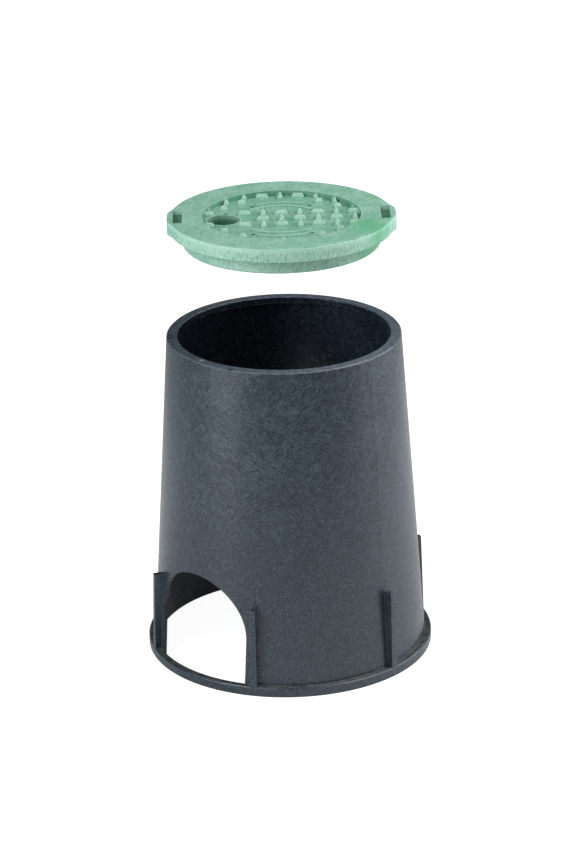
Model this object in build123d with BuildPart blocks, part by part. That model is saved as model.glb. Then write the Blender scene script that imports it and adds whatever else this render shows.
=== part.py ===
from build123d import *
import os
from math import cos, radians, sin, sqrt

os.makedirs("parts", exist_ok=True)

# A round valve box for buried irrigation valves, standing on its base flange.
# +Z is up, the origin is at the centre of the base, and the two pipe arches face -Y and +Y.
# All lengths are in millimetres.

# Box body, overall form
box_height = 230.0
base_radius = 96.5
rim_radius = 81.0
wall_thickness = 2.9

# Rim collar
collar_bore_radius = 73.5
collar_depth = 4.8
rim_outer_bevel = 0.7
rim_inner_bevel = 0.5

# Base flange
flange_reach = 4.1
flange_height = 6.7
flange_lip_bevel = 0.9

# Pipe arches
arch_width = 80.0
arch_crown_height = 78.0

# Gussets on the foot
gusset_top_height = 62.6
gusset_top_thickness = 3.5
gusset_foot_thickness = 5.2
gusset_foot_setback = 0.15
gusset_top_setback = 1.7
gusset_flank_angle = 29.0
gusset_side_angle = 90.0

# Cover, fits in and on the collar
plug_clearance = 6.3
rim_overlap = 2.5
seat_gap = 0.3
cover_travel = 75.5
cover_turn = 45.0

# Cover disc and ears
disc_thickness = 9.3
ear_reach = 1.9
ear_width = 48.0
ear_corner_radius = 18.0
ear_root_fillet = 18.0
disc_edge_round = 0.9

# Plug tier under the disc, hollow from below
plug_depth = 10.7
plug_wall = 2.8
plug_edge_bevel = 0.8
top_plate = 3.3

# Hook slots
slot_width = 6.4
slot_length = 28.6
slot_to_plug = 0.3
slot_corner_radius = 0.8

# Recess with the tread
recess_radius = 54.1
recess_depth = 4.0

# Tread bars
tread_pitch = 12.5
tread_height = 3.0
tread_length = 9.4
tread_width = 4.4
tread_slope = 27.0
tread_reach = 4
bare_columns = {2: 2, 3: 1}
bare_trim = 3.2

# Plain raised arcs in the two bare bands of the recess
arc_inner_radius = 29.5
arc_outer_radius = 37.0
arc_outer_span = 34.0
arc_inner_span = 42.0
arc_band = 2.0
arc_height = 0.9

# Round well
well_radius = 11.2
well_offset = 39.4
well_depth = 13.0
well_wall = 2.2
well_lip_width = 1.2
well_lip_height = 0.8

# Drain holes
drain_radius = 1.2
drain_x = 19.8
drain_y = 30.3
well_drain_x = 37.8
well_drain_y = 15.6

# Ribs under the cover
rib_thickness = 2.4
rib_drop = 8.2
rib_ring_radius = 33.0

# How far a cut runs past the face that it opens
cut_overrun = 1.0

# Values that follow from the sizes above
flange_radius = base_radius + flange_reach
plug_radius = collar_bore_radius - plug_clearance
disc_radius = collar_bore_radius + rim_overlap
ear_radius = disc_radius + ear_reach
cover_top_height = box_height + seat_gap + disc_thickness + cover_travel
arch_radius = arch_width / 2
arch_spring_height = arch_crown_height - arch_radius
wall_slope = (base_radius - rim_radius) / box_height


def wall_radius(height):
    return base_radius - wall_slope * height


def inner_radius(height):
    return wall_radius(height) - wall_thickness


# Box body: a solid frustum on its flange first, then gussets, then the hollow and the arches
gusset_angles = [
    gusset_flank_angle,
    gusset_side_angle,
    180 - gusset_flank_angle,
    180 + gusset_flank_angle,
    180 + gusset_side_angle,
    360 - gusset_flank_angle,
]
gusset_root_radius = inner_radius(gusset_top_height) - wall_thickness
shoulder_height = box_height - collar_depth

with BuildPart() as box_body:
    with BuildSketch(Plane.XZ) as outer_section:
        with BuildLine():
            Polyline(
                (0, 0),
                (flange_radius, 0),
                (flange_radius, flange_height),
                (wall_radius(flange_height), flange_height),
                (rim_radius, box_height),
                (0, box_height),
                close=True,
            )
        make_face()
        chamfer(outer_section.vertices().sort_by_distance((flange_radius, flange_height))[0], flange_lip_bevel)
        chamfer(outer_section.vertices().sort_by_distance((rim_radius, box_height))[0], rim_outer_bevel)
    revolve(axis=Axis.Z)

    # Gussets stand on the flange, thinner and leaning in towards the top, with flat tops
    for angle in gusset_angles:
        heading = radians(angle - 90)
        outward = (cos(heading), sin(heading), 0)
        for height, thickness, setback in (
            (flange_height / 2, gusset_foot_thickness, gusset_foot_setback),
            (gusset_top_height, gusset_top_thickness, gusset_top_setback),
        ):
            span = flange_radius - setback - gusset_root_radius
            with BuildSketch(Plane(origin=(0, 0, height), x_dir=outward, z_dir=(0, 0, 1))):
                with Locations((gusset_root_radius + span / 2, 0)):
                    Rectangle(span, thickness)
        loft()

    # Hollow: the conical inside, the shoulder under the collar and the collar bore
    with BuildSketch(Plane.XZ) as hollow_section:
        with BuildLine():
            Polyline(
                (0, -cut_overrun),
                (inner_radius(-cut_overrun), -cut_overrun),
                (inner_radius(shoulder_height), shoulder_height),
                (collar_bore_radius, shoulder_height),
                (collar_bore_radius, box_height - rim_inner_bevel),
                (collar_bore_radius + rim_inner_bevel, box_height),
                (collar_bore_radius + rim_inner_bevel, box_height + cut_overrun),
                (0, box_height + cut_overrun),
                close=True,
            )
        make_face()
    revolve(axis=Axis.Z, mode=Mode.SUBTRACT)

    # Pipe arches: straight jambs and a round head, cut through both sides above the flange. Below that
    # only the wall is cut, so that the flange runs on across each arch as a bar.
    with BuildSketch(Plane.XZ) as arch_outline:
        with BuildLine():
            Line((-arch_radius, flange_height), (arch_radius, flange_height))
            Line((arch_radius, flange_height), (arch_radius, arch_spring_height))
            ThreePointArc(
                (arch_radius, arch_spring_height),
                (0, arch_crown_height),
                (-arch_radius, arch_spring_height),
            )
            Line((-arch_radius, arch_spring_height), (-arch_radius, flange_height))
        make_face()
    extrude(amount=2 * flange_radius, both=True, mode=Mode.SUBTRACT)
    with BuildSketch(Plane.XY.offset(-cut_overrun)):
        Circle(base_radius)
        Rectangle(arch_width, 2 * flange_radius, mode=Mode.INTERSECT)
    extrude(amount=flange_height + 2 * cut_overrun, mode=Mode.SUBTRACT)

box_body.part.label = "box_body"
export_step(box_body.part, "parts/box_body.step")

# Cover, drawn on planes that hang from its top face, with its ears along the plane's x axis
turn = radians(cover_turn)
cover_top = Plane(origin=(0, 0, cover_top_height), x_dir=(cos(turn), sin(turn), 0), z_dir=(0, 0, 1))
recess_floor = cover_top.offset(-recess_depth)
disc_underside = cover_top.offset(-disc_thickness)
plate_underside = cover_top.offset(-recess_depth - top_plate)
plug_bottom = cover_top.offset(-disc_thickness - plug_depth)
well_bottom_drop = recess_depth + well_depth + well_wall
slot_offset = plug_radius + slot_to_plug + slot_width / 2


# Each bar of the tread as centre, length and heading: even sums of column and row run along y, odd sums
# along x. Two bands, front and back, stay bare, and the bars beside them are cut short.
def tread_bars():
    bars = []
    for column in range(-tread_reach, tread_reach + 1):
        for row in range(-tread_reach, tread_reach + 1):
            along_y = (column + row) % 2 == 0
            x = column * tread_pitch
            y = row * tread_pitch
            length = tread_length
            if abs(row) in bare_columns:
                bare_reach = bare_columns[abs(row)]
                if abs(column) <= bare_reach:
                    continue
                if abs(column) == bare_reach + 1 and not along_y:
                    length = tread_length - bare_trim
                    x += bare_trim / 2 if column > 0 else -bare_trim / 2
            reach_to_well = sqrt((x + well_offset) ** 2 + y**2) - tread_length / 2
            if reach_to_well > well_radius:
                bars.append((x, y, length, 90 if along_y else 0))
    return bars


# Tread bars with sloped sides and ends, cut off where they run past the recess
with BuildPart() as tread:
    with BuildSketch(recess_floor):
        for x, y, length, heading in tread_bars():
            with Locations(Location((x, y, 0), (0, 0, heading))):
                Rectangle(length, tread_width)
    extrude(amount=tread_height, taper=tread_slope)
    with BuildSketch(recess_floor):
        Circle(recess_radius)
    extrude(amount=tread_height, mode=Mode.INTERSECT)

with BuildPart() as cover:
    # Disc with an ear at each end
    with BuildSketch(cover_top) as disc_outline:
        Circle(disc_radius)
        RectangleRounded(2 * ear_radius, ear_width, ear_corner_radius)
        ear_roots = disc_outline.vertices().group_by(lambda v: abs(sqrt(v.X**2 + v.Y**2) - disc_radius))[0]
        fillet(ear_roots, ear_root_fillet)
    extrude(amount=-disc_thickness)
    fillet(cover.faces().sort_by(Axis.Z)[-1].edges(), disc_edge_round)

    # Plug tier
    with BuildSketch(disc_underside):
        Circle(plug_radius)
    extrude(amount=-plug_depth)
    chamfer(cover.faces().sort_by(Axis.Z)[0].edges(), plug_edge_bevel)

    # Hollow underside
    with BuildSketch(plug_bottom):
        Circle(plug_radius - plug_wall)
    extrude(amount=disc_thickness + plug_depth - recess_depth - top_plate, mode=Mode.SUBTRACT)

    # Ribs under the plate: a ring and a cross from plug wall to plug wall
    with BuildSketch(plate_underside):
        Circle(rib_ring_radius + rib_thickness / 2)
        Circle(rib_ring_radius - rib_thickness / 2, mode=Mode.SUBTRACT)
        Rectangle(2 * plug_radius - plug_wall, rib_thickness)
        Rectangle(rib_thickness, 2 * plug_radius - plug_wall)
    extrude(amount=-rib_drop)

    # Sleeve of the well
    with BuildSketch(recess_floor):
        with Locations((-well_offset, 0)):
            Circle(well_radius + well_wall)
    extrude(amount=recess_depth - well_bottom_drop)

    # Recess
    with BuildSketch(cover_top):
        Circle(recess_radius)
    extrude(amount=-recess_depth, mode=Mode.SUBTRACT)

    add(tread.part)

    # Plain arcs in the bare bands, front and back
    for radius, span in ((arc_outer_radius, arc_outer_span), (arc_inner_radius, arc_inner_span)):
        with BuildSketch(recess_floor):
            Circle(radius + arc_band / 2)
            Circle(radius - arc_band / 2, mode=Mode.SUBTRACT)
            Rectangle(span, 2 * recess_radius, mode=Mode.INTERSECT)
        extrude(amount=arc_height)

    # Lip round the well, then the well itself
    with BuildSketch(recess_floor):
        with Locations((-well_offset, 0)):
            Circle(well_radius + well_lip_width)
    extrude(amount=well_lip_height)
    with BuildSketch(cover_top):
        with Locations((-well_offset, 0)):
            Circle(well_radius)
    extrude(amount=-recess_depth - well_depth, mode=Mode.SUBTRACT)

    # Drain holes through the plate
    with BuildSketch(recess_floor):
        with GridLocations(2 * drain_x, 2 * drain_y, 2, 2):
            Circle(drain_radius)
        with Locations((-well_drain_x, well_drain_y)):
            Circle(drain_radius)
    extrude(amount=-disc_thickness, mode=Mode.SUBTRACT)

    # Hook slots through the ears, clear of the plug tier
    with BuildSketch(cover_top):
        with GridLocations(2 * slot_offset, 0, 2, 1):
            RectangleRounded(slot_width, slot_length, slot_corner_radius)
    extrude(amount=-disc_thickness, mode=Mode.SUBTRACT)

cover.part.label = "cover"
export_step(cover.part, "parts/cover.step")
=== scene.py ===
from math import cos, radians, sin

import bpy
from mathutils import Matrix, Vector


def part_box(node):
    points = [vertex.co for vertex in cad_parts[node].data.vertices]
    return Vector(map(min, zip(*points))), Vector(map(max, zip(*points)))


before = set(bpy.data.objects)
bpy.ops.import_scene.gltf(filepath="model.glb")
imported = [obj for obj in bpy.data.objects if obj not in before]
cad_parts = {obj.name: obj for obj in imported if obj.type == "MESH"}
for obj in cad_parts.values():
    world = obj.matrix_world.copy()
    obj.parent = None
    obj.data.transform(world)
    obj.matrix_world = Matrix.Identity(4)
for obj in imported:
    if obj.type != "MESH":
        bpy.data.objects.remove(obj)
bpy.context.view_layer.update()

# Camera: its direction and roll in degrees, its places in metres
camera_azimuth = 44.0
camera_elevation = 21.699
camera_roll = -1.203
camera_distance = 2.1997
camera_side_shift = 0.00138
camera_aim_height = 0.1559
camera_lens_mm = 131.474

# Sizes that the finishes follow, in metres
cover_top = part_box("cover")[1].z
rim_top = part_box("box_body")[1].z
recess_depth = 0.0040
recess_floor = cover_top - recess_depth
tread_height = 0.0030
flange_height = 0.0067
edge_softness = 0.0006
# Width of the sharp edges painted pale, partly wear and partly painted highlight
pale_edge_width = 0.0014
# Heading of the inside's side that is painted lighter, as painted light
inside_lit_side_heading = radians(44)
ear_heading = radians(45)
flow_mark_place = (0.058, -0.034, 0.0)
well_place = (-0.0394, 0.0, 0.0)
well_radius = 0.0112
drain_place = (0.0198, 0.0303, 0.0)
well_drain_place = (-0.0378, 0.0156, 0.0)
drain_radius = 0.0012

# Marks on the rim: two short scratches in from its outer edge, then two nicks by heading, reach and size
rim_scratch_headings = (radians(225), radians(229))
rim_scratch_start = 0.0765
rim_scratch_half_width = 0.0014
pale_nick = (radians(267.5), 0.0765, 0.0022)
dark_nick = (radians(287.2), 0.0800, 0.0022)

# Fineness of each grain and patch, in waves to the metre
drift_fineness = 9.0
zone_fineness = 30.0
streak_fineness = 640.0
swirl_fineness = 150.0
slate_patch_fineness = 40.0
slate_grain_fineness = 900.0
slate_speck_fineness = 850.0
ledge_patch_fineness = 160.0
rim_pattern_fineness = 300.0
broken_edge_fineness = 130.0
cloud_fineness = 70.0
mottle_fineness = 420.0
green_speck_fineness = 760.0
upright_grain_fineness = 950.0
stipple_fineness = 1000.0
ragged_fineness = 75.0

# Turns of the two families of streaks in radians a metre, each with its starting angle
streak_twists = ((16.0, 0.0), (-12.0, 3.7))

# Depth of each grain in the surface, in metres
slate_grain_depth = 0.00008
streak_depth = 0.00005
stipple_depth = 0.00022
mottle_depth = 0.0003

# Colours, as linear red, green and blue
slate_dark = (0.004, 0.008, 0.012, 1)
slate_light = (0.038, 0.058, 0.077, 1)
slate_speck = (0.100, 0.124, 0.144, 1)
# Rim top and sharp edges: painted light on the rim top, partly wear and partly painted highlight on the
# edges
slate_scuffed_and_lit = (0.092, 0.110, 0.136, 1)
slate_nick = (0.250, 0.270, 0.300, 1)
# Beige for patches on the ledge round the foot
ledge_beige = (0.200, 0.180, 0.130, 1)
sea_green = (0.165, 0.345, 0.252, 1)
sea_green_pale = (0.250, 0.420, 0.345, 1)
# Deep green for the mottle, and for painted shade in the recess
sea_green_deep_and_shade = (0.060, 0.225, 0.130, 1)
# Pale green for specks, and for wear, painted light and painted highlight
sea_green_worn_and_lit = (0.345, 0.545, 0.435, 1)
sea_green_flow = (0.085, 0.320, 0.165, 1)
# Painted shade in the well and the drain holes
sea_green_hole_shade = (0.030, 0.130, 0.065, 1)
floor_white = (0.85, 0.85, 0.85, 1)
floor_far_grey = (0.30, 0.30, 0.30, 1)
floor_seen_grey = (0.30, 0.30, 0.30, 1)
pure_white = (1, 1, 1, 1)
cool_white = (0.94, 1.0, 1.05)

# Painted shade inside: shares of the outside's colour that the inside keeps, on its shaded side and on its
# side painted lighter as painted light
inside_shade_share = (0.13, 0.17, 0.22)
inside_lit_side_share = (0.60, 0.66, 0.76)

# Stage: the floor's half width in metres, and how strongly the surroundings light the object
floor_half_width = 30.0
surroundings_strength = 0.03


class Finish:
    """A node material while it is put together."""

    def __init__(self, name):
        self.material = bpy.data.materials.new(name)
        self.material.use_nodes = True
        self.tree = self.material.node_tree
        self.shader = self.tree.nodes["Principled BSDF"]

    def add(self, kind, **settings):
        made = self.tree.nodes.new(kind)
        for name, value in settings.items():
            setattr(made, name, value)
        return made

    def put(self, value, socket):
        """Links a socket, or sets a plain value."""
        if isinstance(value, bpy.types.NodeSocket):
            self.tree.links.new(value, socket)
        else:
            socket.default_value = value

    def math(self, operation, first, second=0.0, clamp=False):
        made = self.add("ShaderNodeMath", operation=operation, use_clamp=clamp)
        self.put(first, made.inputs[0])
        self.put(second, made.inputs[1])
        return made.outputs[0]

    def product(self, value, *factors):
        for factor in factors:
            value = self.math("MULTIPLY", value, factor)
        return value

    def opposite(self, mask):
        """1 where the mask is 0, and 0 where it is 1."""
        return self.math("SUBTRACT", 1.0, mask)

    def object_point(self):
        return self.add("ShaderNodeTexCoord").outputs["Object"]

    def normal(self):
        return self.add("ShaderNodeTexCoord").outputs["Normal"]

    def upward(self):
        """1 where the surface faces up, 0 where it is upright and -1 where it faces down."""
        return self.split(self.normal())[2]

    def outward(self):
        """Distance from the vertical axis in metres, times how far the surface faces away from it."""
        made = self.add("ShaderNodeVectorMath", operation="DOT_PRODUCT")
        self.put(self.scaled(self.object_point(), (1, 1, 0)), made.inputs[0])
        self.put(self.normal(), made.inputs[1])
        return made.outputs["Value"]

    def split(self, vector):
        made = self.add("ShaderNodeSeparateXYZ")
        self.put(vector, made.inputs[0])
        return made.outputs

    def turned(self, vector, angle):
        """The point turned about the vertical axis by an angle."""
        made = self.add("ShaderNodeVectorRotate", rotation_type="Z_AXIS")
        self.put(vector, made.inputs["Vector"])
        self.put(angle, made.inputs["Angle"])
        return made.outputs[0]

    def distance(self, vector, place):
        made = self.add("ShaderNodeVectorMath", operation="DISTANCE")
        self.put(vector, made.inputs[0])
        made.inputs[1].default_value = place
        return made.outputs["Value"]

    def scaled(self, vector, factors):
        made = self.add("ShaderNodeVectorMath", operation="MULTIPLY")
        self.put(vector, made.inputs[0])
        made.inputs[1].default_value = factors
        return made.outputs[0]

    def noise(self, vector, scale, detail=2.0, roughness=0.5, distortion=0.0):
        made = self.add("ShaderNodeTexNoise")
        self.put(vector, made.inputs["Vector"])
        made.inputs["Scale"].default_value = scale
        made.inputs["Detail"].default_value = detail
        made.inputs["Roughness"].default_value = roughness
        made.inputs["Distortion"].default_value = distortion
        return made.outputs[0]

    def span(self, value, low, high, to_low=0.0, to_high=1.0):
        """Maps low..high smoothly to to_low..to_high, and holds the ends."""
        made = self.add("ShaderNodeMapRange", interpolation_type="SMOOTHSTEP")
        self.put(value, made.inputs["Value"])
        made.inputs["From Min"].default_value = low
        made.inputs["From Max"].default_value = high
        made.inputs["To Min"].default_value = to_low
        made.inputs["To Max"].default_value = to_high
        return made.outputs[0]

    def mix(self, share, first, second):
        made = self.add("ShaderNodeMix", data_type="RGBA")
        self.put(share, made.inputs["Factor"])
        self.put(first, made.inputs[6])
        self.put(second, made.inputs[7])
        return made.outputs[2]

    def softened_normal(self, width):
        """The normal as it would be with edges rounded to a width."""
        made = self.add("ShaderNodeBevel", samples=6)
        made.inputs["Radius"].default_value = width
        return made.outputs[0]

    def sharpness(self, width):
        """Near 1 along sharp edges and corners, and 0 on flat and gently curved surfaces."""
        made = self.add("ShaderNodeVectorMath", operation="DOT_PRODUCT")
        self.put(self.softened_normal(width), made.inputs[0])
        self.put(self.add("ShaderNodeNewGeometry").outputs["Normal"], made.inputs[1])
        return self.span(made.outputs["Value"], 0.80, 0.995, 1.0, 0.0)

    def relief(self, height):
        """Softened edges, and bump from a height in metres."""
        made = self.add("ShaderNodeBump")
        made.inputs["Distance"].default_value = 1.0
        made.inputs["Strength"].default_value = 1.0
        self.put(height, made.inputs["Height"])
        self.put(self.softened_normal(edge_softness), made.inputs["Normal"])
        self.put(made.outputs[0], self.shader.inputs["Normal"])


def slate_streaks(f, point, z):
    """Short streaks along two opposite helices, whose pitch wanders."""
    drift = f.product(f.noise(point, drift_fineness, detail=1.0), 0.8)
    streaks = []
    for twist, start in streak_twists:
        angle = f.math("ADD", f.product(z, twist), drift)
        turned = f.scaled(f.turned(point, f.math("ADD", angle, start)), (1.0, 1.0, 0.42))
        streaks.append(f.noise(turned, streak_fineness, detail=2.0, roughness=0.7, distortion=0.5))
    zones = f.span(f.noise(point, zone_fineness, detail=2.0), 0.42, 0.58)
    return f.mix(zones, streaks[0], streaks[1])


def slate_ground(f, point, upper, inside, streak, swirl, grain):
    """Streaks that fade out towards the foot and fine grain, duller in swirls outside, and pale specks."""
    patches = f.span(f.noise(point, slate_patch_fineness, detail=3.0), 0.35, 0.65)
    shade = f.math("MULTIPLY", f.span(streak, 0.38, 0.66), f.math("ADD", patches, 0.35), clamp=True)
    shade = f.product(shade, upper, 0.5)
    grain_share = f.span(upper, 0.2, 1.0, 0.63, 0.73)
    shade = f.math("ADD", shade, f.product(f.span(grain, 0.38, 0.62), grain_share), clamp=True)
    faded = f.product(f.span(swirl, 0.40, 0.56, 0.36, 0.0), upper, f.opposite(inside))
    colour = f.mix(f.product(shade, f.opposite(faded)), slate_dark, slate_light)
    speck = f.span(f.noise(point, slate_speck_fineness, detail=1.0), 0.61, 0.74)
    return f.mix(f.product(speck, 0.6), colour, slate_speck)


def slate_ledge_tone(f, point, z, colour):
    """A beige tone in patches on the ledge round the foot."""
    foot = f.span(z, flange_height - 0.0015, flange_height + 0.001, 1.0, 0.0)
    ledge = f.product(f.span(f.upward(), 0.8, 0.95), foot)
    ledge_patches = f.span(f.noise(point, ledge_patch_fineness, detail=3.0), 0.35, 0.6, 0.15, 0.9)
    return f.mix(f.product(ledge, ledge_patches), colour, ledge_beige)


def slate_inside_shade_and_scratches(f, point, upper, inside, streak, colour):
    """Painted shade that darkens the inside, with one side painted lighter as painted light, and sparse pale
    scratches on both faces.
    """
    sideways = f.split(f.turned(point, -inside_lit_side_heading))[0]
    inside_lit_side = f.span(sideways, -0.030, 0.070)
    # Painted shade inside, lighter on one side as painted light
    inner_colour = f.mix(inside_lit_side, f.scaled(colour, inside_shade_share), f.scaled(colour, inside_lit_side_share))
    colour = f.mix(inside, colour, inner_colour)
    inner_share = f.product(inside, f.span(inside_lit_side, 0.0, 1.0, -0.12, 0.30))
    scratch_share = f.product(upper, f.math("ADD", inner_share, 0.30))
    return f.mix(f.product(f.span(streak, 0.56, 0.66), scratch_share), colour, slate_speck)


def slate_rim(f, point, trimmed, colour):
    """A rim top painted paler as painted light, in a scuffed pattern, and sharp edges painted pale in broken
    dashes, partly wear and partly painted highlight, with the rim's scratches and nicks.
    """
    # The rim top is painted paler as painted light, in a scuffed pattern
    scuff_and_sheen_pattern = f.span(f.noise(point, rim_pattern_fineness, detail=3.0, roughness=0.7), 0.36, 0.62, 0.30, 0.95)
    colour = f.mix(f.product(trimmed, scuff_and_sheen_pattern), colour, slate_scuffed_and_lit)
    # Sharp edges painted pale in broken dashes: partly wear, partly painted highlight
    broken = f.noise(point, broken_edge_fineness, detail=3.0, roughness=0.6)
    broken = f.span(broken, 0.46, 0.58, 0.15, 0.9)
    colour = f.mix(f.product(f.sharpness(pale_edge_width), scuff_and_sheen_pattern, broken), colour, slate_scuffed_and_lit)

    for heading in rim_scratch_headings:
        along, across, _ = f.split(f.turned(point, -heading))
        aside = f.math("ABSOLUTE", across)
        scratch = f.span(aside, rim_scratch_half_width / 2, rim_scratch_half_width, 1.0, 0.0)
        reached = f.span(along, rim_scratch_start - 0.0005, rim_scratch_start)
        colour = f.mix(f.product(scratch, reached, trimmed), colour, slate_dark)
    for (heading, reach, size), nick_colour in ((pale_nick, slate_nick), (dark_nick, slate_dark)):
        place = (reach * cos(heading), reach * sin(heading), rim_top)
        nick = f.span(f.distance(point, place), 0.6 * size, size, 0.95, 0.0)
        colour = f.mix(nick, colour, nick_colour)
    return colour


def slate_plastic():
    """Dark moulded plastic with short swirled streaks, fine specks, a beige tone on the ledge, a rim top
    painted paler as painted light, pale edges that are partly wear and partly painted highlight, and painted
    shade inside.
    """
    f = Finish("slate_plastic")
    point = f.object_point()
    z = f.split(point)[2]
    upper = f.span(z, 0.06, 0.17, 0.15, 1.0)
    inside = f.span(f.outward(), -0.070, -0.055, 1.0, 0.0)
    trimmed = f.product(f.span(f.upward(), 0.45, 0.65), f.span(z, rim_top - 0.0024, rim_top - 0.0016))
    streak = slate_streaks(f, point, z)
    flattened = f.scaled(point, (1.0, 1.0, 0.7))
    swirl = f.noise(flattened, swirl_fineness, detail=3.0, roughness=0.6, distortion=1.6)
    grain = f.noise(point, slate_grain_fineness, detail=3.0, roughness=0.7)

    colour = slate_ground(f, point, upper, inside, streak, swirl, grain)
    colour = slate_ledge_tone(f, point, z, colour)
    colour = slate_inside_shade_and_scratches(f, point, upper, inside, streak, colour)
    f.put(slate_rim(f, point, trimmed, colour), f.shader.inputs["Base Color"])

    roughness = f.math("ADD", f.span(streak, 0.3, 0.7, 0.24, 0.31), f.span(swirl, 0.40, 0.60, 0.0, 0.06))
    f.put(f.math("ADD", roughness, f.product(trimmed, 0.2)), f.shader.inputs["Roughness"])
    f.relief(f.math("ADD", f.product(grain, slate_grain_depth), f.product(streak, upper, streak_depth)))
    return f.material


def green_recess(f, z, upright, raised, colour):
    """A recess whose floor and inner side wall are painted darker as painted shade, with treads and raised
    lines painted pale, partly wear and partly painted highlight.
    """
    # Painted shade low in the recess and on its inner side wall
    low = f.span(z, recess_floor + 0.3 * tread_height, recess_floor + 0.8 * tread_height, 1.0, 0.0)
    painted_recess_shade = f.product(low, f.span(f.outward(), -0.010, 0.060, 1.0, 0.0))
    colour = f.mix(f.product(painted_recess_shade, 0.35), colour, sea_green_deep_and_shade)
    above = f.span(z, recess_floor - 0.0006, recess_floor - 0.0002)
    shaded_recess_wall = f.product(upright, above, f.span(f.outward(), -0.050, -0.040, 1.0, 0.0))
    colour = f.mix(f.product(shaded_recess_wall, 0.65), colour, sea_green_deep_and_shade)

    # Treads and raised lines painted pale: partly wear, partly painted highlight
    rim = f.span(z, cover_top - 0.0006, cover_top - 0.0002)
    treads = f.product(f.math("SUBTRACT", raised, f.product(rim, 0.95)), f.opposite(shaded_recess_wall))
    colour = f.mix(f.product(treads, 0.65), colour, sea_green_worn_and_lit)
    lines = f.product(f.span(z, recess_floor + 0.0004, recess_floor + 0.0008), f.opposite(raised))
    lines = f.product(lines, f.span(f.upward(), 0.90, 0.98))
    return f.mix(f.product(lines, 0.5), colour, sea_green_worn_and_lit)


def green_wear_and_light(f, point, upright, raised, colour):
    """Outer upright walls painted paler in an upright grain as painted light, sharp edges on raised parts
    painted pale, partly wear and partly painted highlight, and pale specks.
    """
    # Outer upright walls painted paler as painted light, in an upright grain
    outer = f.product(upright, f.span(f.outward(), 0.060, 0.070))
    drawn_out = f.scaled(point, (1.0, 1.0, 0.3))
    upright_grain = f.noise(drawn_out, upright_grain_fineness, detail=2.0, roughness=0.7)
    colour = f.mix(f.product(outer, f.span(upright_grain, 0.35, 0.60, 0.0, 0.75)), colour, sea_green_worn_and_lit)
    # Sharp edges on raised parts painted pale: partly wear, partly painted highlight
    colour = f.mix(f.product(f.sharpness(pale_edge_width), raised, 0.5), colour, sea_green_worn_and_lit)
    speck = f.span(f.noise(point, green_speck_fineness, detail=2.0), 0.56, 0.72)
    return f.mix(f.product(speck, 0.5), colour, sea_green_worn_and_lit)


def green_flow_mark(f, point, along_ears, colour):
    """A deeper flow mark with a ragged outline, which runs out to the edge."""
    ragged = f.product(f.noise(point, ragged_fineness, detail=4.0, roughness=0.6), 0.034)
    flow_reach = f.math("ADD", f.distance(along_ears, flow_mark_place), ragged)
    return f.mix(f.span(flow_reach, 0.024, 0.040, 0.85, 0.0), colour, sea_green_flow)


def green_hole_shade(f, z, along_ears, colour):
    """Five drain holes and a well, all painted dark as painted shade inside them. Four of the holes mirror
    each other.
    """
    folded = f.add("ShaderNodeVectorMath", operation="ABSOLUTE")
    f.put(along_ears, folded.inputs[0])
    mirrored_reach = f.distance(folded.outputs[0], drain_place)
    drain_reach = f.math("MINIMUM", mirrored_reach, f.distance(along_ears, well_drain_place))
    # Painted shade in the drain holes
    drain_shade = f.span(drain_reach, drain_radius + 0.0001, drain_radius + 0.0007, 0.85, 0.0)
    drain_shade = f.product(drain_shade, f.span(z, recess_floor + 0.0002, recess_floor + 0.0006, 1.0, 0.0))
    colour = f.mix(drain_shade, colour, sea_green_hole_shade)
    # Painted shade deep in the well
    sunk = f.span(z, recess_floor - 0.004, recess_floor - 0.0005, 1.0, 0.0)
    well_reach = f.distance(along_ears, well_place)
    well = f.span(well_reach, well_radius + 0.0002, well_radius + 0.0006, 1.0, 0.0)
    return f.mix(f.product(sunk, well, 0.85), colour, sea_green_hole_shade)


def sea_green_plastic():
    """Pale green moulded foam plastic with clouds, a fine stipple and one deeper flow mark, pale treads and
    edges that are partly wear and partly painted highlight, outer walls painted paler as painted light, and
    painted shade in the recess, the well and the drain holes.
    """
    f = Finish("sea_green_plastic")
    point = f.object_point()
    z = f.split(point)[2]
    upright = f.span(f.math("ABSOLUTE", f.upward()), 0.3, 0.8, 1.0, 0.0)
    raised = f.span(z, recess_floor + 0.15 * tread_height, recess_floor + 0.45 * tread_height)
    clouds = f.noise(point, cloud_fineness, detail=4.0, roughness=0.6)
    mottle = f.noise(point, mottle_fineness, detail=3.0, roughness=0.7)
    stipple = f.noise(point, stipple_fineness, detail=2.0)

    colour = f.mix(f.span(clouds, 0.35, 0.65), sea_green, sea_green_pale)
    colour = f.mix(f.span(mottle, 0.40, 0.68, 0.0, 0.55), colour, sea_green_deep_and_shade)
    colour = green_recess(f, z, upright, raised, colour)
    colour = green_wear_and_light(f, point, upright, raised, colour)
    along_ears = f.scaled(f.turned(point, -ear_heading), (1.0, 1.0, 0.0))
    colour = green_flow_mark(f, point, along_ears, colour)
    f.put(green_hole_shade(f, z, along_ears, colour), f.shader.inputs["Base Color"])

    f.put(f.span(mottle, 0.3, 0.7, 0.42, 0.58), f.shader.inputs["Roughness"])
    f.relief(f.math("ADD", f.product(stipple, stipple_depth), f.product(mottle, mottle_depth)))
    return f.material


def dress(node, material):
    """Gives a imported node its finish."""
    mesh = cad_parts[node].data
    mesh.materials.clear()
    mesh.materials.append(material)


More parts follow.
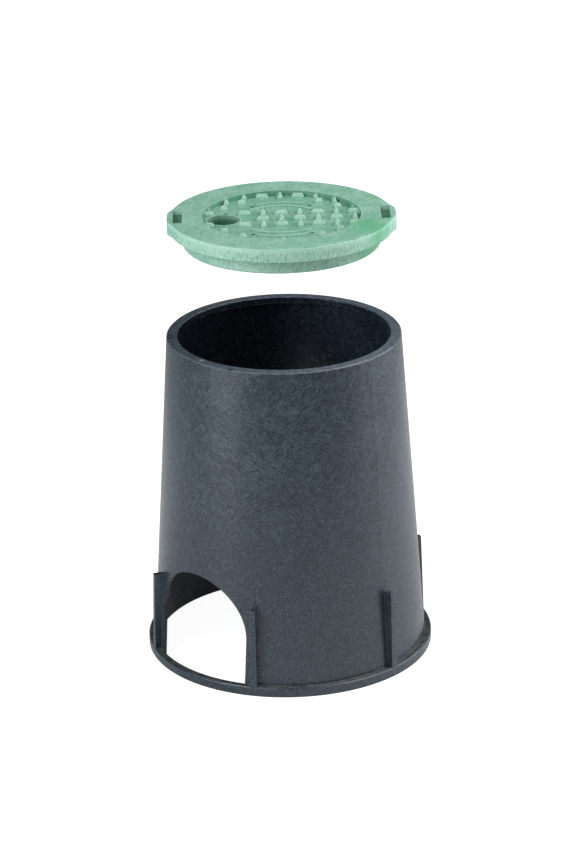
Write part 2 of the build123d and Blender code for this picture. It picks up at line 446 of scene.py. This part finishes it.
def make_camera():
    """Camera at the photograph's place, from its heading, height above the horizon and roll."""
    azimuth = radians(camera_azimuth)
    elevation = radians(camera_elevation)
    roll = radians(camera_roll)
    right = Vector((cos(azimuth), sin(azimuth), 0))
    level = Vector((-sin(azimuth), cos(azimuth), 0))
    up = Vector((0, 0, 1))
    forward = cos(elevation) * level - sin(elevation) * up
    screen_up = right.cross(forward)
    rolled_right = cos(roll) * right + sin(roll) * screen_up
    rolled_up = -sin(roll) * right + cos(roll) * screen_up
    place = camera_side_shift * right + camera_aim_height * up - camera_distance * forward

    data = bpy.data.cameras.new("camera")
    data.lens = camera_lens_mm
    camera = bpy.data.objects.new("camera", data)
    turn = Matrix((rolled_right, rolled_up, -forward)).transposed().to_4x4()
    camera.matrix_world = Matrix.Translation(place) @ turn
    bpy.context.scene.collection.objects.link(camera)
    bpy.context.scene.camera = camera


def soft_box(name, heading, elevation, distance, width, height, power, colour=(1, 1, 1)):
    """Area light that faces the object, placed by its heading from the camera's side of the object."""
    around = radians(camera_azimuth - 90 + heading)
    lift = radians(elevation)
    aim = Vector((0, 0, camera_aim_height))
    away = Vector((cos(around) * cos(lift), sin(around) * cos(lift), sin(lift)))
    data = bpy.data.lights.new(name, "AREA")
    data.shape = "RECTANGLE"
    data.size = width
    data.size_y = height
    data.energy = power
    data.color = colour
    lamp = bpy.data.objects.new(name, data)
    lamp.location = aim + distance * away
    lamp.rotation_euler = away.to_track_quat("Z", "Y").to_euler()
    bpy.context.scene.collection.objects.link(lamp)


def make_lights():
    """Tall cool soft boxes at the left, the right and the right's back, and two plain ones overhead."""
    soft_box(
        "left_light", heading=-56, elevation=16, distance=1.5,
        width=0.8, height=1.3, power=19.5, colour=cool_white,
    )
    soft_box(
        "right_light", heading=85, elevation=10, distance=1.5,
        width=0.8, height=1.3, power=14, colour=cool_white,
    )
    soft_box(
        "right_back_light", heading=115, elevation=10, distance=1.5,
        width=0.75, height=1.3, power=9, colour=cool_white,
    )
    soft_box("top_light", heading=90, elevation=58, distance=1.1, width=0.9, height=0.7, power=11.5)
    soft_box("front_light", heading=-42, elevation=45, distance=1.6, width=1.0, height=0.8, power=10.5)


def make_floor():
    """Wide white floor that keeps the object's shadow and meets the white background without a line."""
    f = Finish("floor_white")
    seen = f.add("ShaderNodeLightPath").outputs["Is Camera Ray"]
    away = f.distance(f.object_point(), (0, 0, 0))
    lit_colour = f.mix(f.span(away, 0.35, 1.10), floor_white, floor_far_grey)
    f.put(f.mix(seen, lit_colour, floor_seen_grey), f.shader.inputs["Base Color"])
    f.put(0.9, f.shader.inputs["Roughness"])
    f.put(0.0, f.shader.inputs["Specular IOR Level"])
    f.put(pure_white, f.shader.inputs["Emission Color"])
    f.put(f.product(seen, f.span(away, 0.20, 0.60, 0.91, 1.0)), f.shader.inputs["Emission Strength"])

    mesh = bpy.data.meshes.new("floor")
    reach = floor_half_width
    corners = [(-reach, -reach, 0), (reach, -reach, 0), (reach, reach, 0), (-reach, reach, 0)]
    mesh.from_pydata(corners, [], [(0, 1, 2, 3)])
    mesh.materials.append(f.material)
    floor = bpy.data.objects.new("floor", mesh)
    bpy.context.scene.collection.objects.link(floor)


def make_world():
    """White surroundings that light softly and show as plain white behind the object."""
    world = bpy.data.worlds.new("surroundings")
    world.use_nodes = True
    tree = world.node_tree
    background = tree.nodes["Background"]
    background.inputs["Color"].default_value = pure_white
    path = tree.nodes.new("ShaderNodeLightPath")
    strength = tree.nodes.new("ShaderNodeMapRange")
    tree.links.new(path.outputs["Is Camera Ray"], strength.inputs["Value"])
    strength.inputs["To Min"].default_value = surroundings_strength
    strength.inputs["To Max"].default_value = 1.0
    tree.links.new(strength.outputs[0], background.inputs["Strength"])
    bpy.context.scene.world = world


dress("box_body", slate_plastic())
dress("cover", sea_green_plastic())
make_camera()
make_floor()
make_world()
make_lights()

bpy.context.scene.view_settings.view_transform = "Standard"
